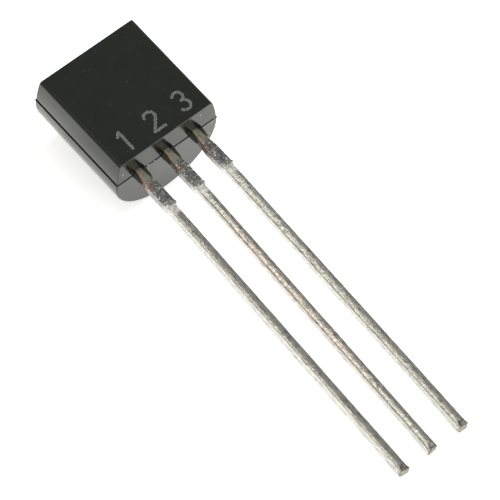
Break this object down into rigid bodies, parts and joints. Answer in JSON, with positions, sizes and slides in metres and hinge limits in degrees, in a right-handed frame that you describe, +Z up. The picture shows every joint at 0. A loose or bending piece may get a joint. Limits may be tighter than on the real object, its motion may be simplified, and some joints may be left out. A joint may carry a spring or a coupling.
{
  "type": "voltage supervisor chip",
  "caption": "Small moulded chip with a flat face, a round back and a row of slim tinned leads, which watches a supply voltage and pulls a reset line low.",
  "frame": {"origin": "middle of the footprint on the table, with the chip lying on its round back and lead tips, flat face up", "axes": "+Y from the lead tips towards the body, +Z up from the table, +X to the right seen from the lead side"},
  "size_m": [0.0046, 0.0188, 0.0039],
  "materials": {
    "black_epoxy": "satin moulded, with fine mould texture",
    "tinned_copper": "dull tin plating, uneven",
    "silicon": "polished",
    "silver_epoxy": "matt",
    "gold_wire": "drawn"
  },
  "bodies": {
    "root": {"moulded_body": "black_epoxy", "reset_lead": "tinned_copper", "input_lead": "tinned_copper", "ground_lead": "tinned_copper", "silicon_die": "silicon", "die_attach": "silver_epoxy", "reset_bond_wire": "gold_wire", "input_bond_wire": "gold_wire", "ground_bond_wire": "gold_wire"}
  },
  "joints": []
}
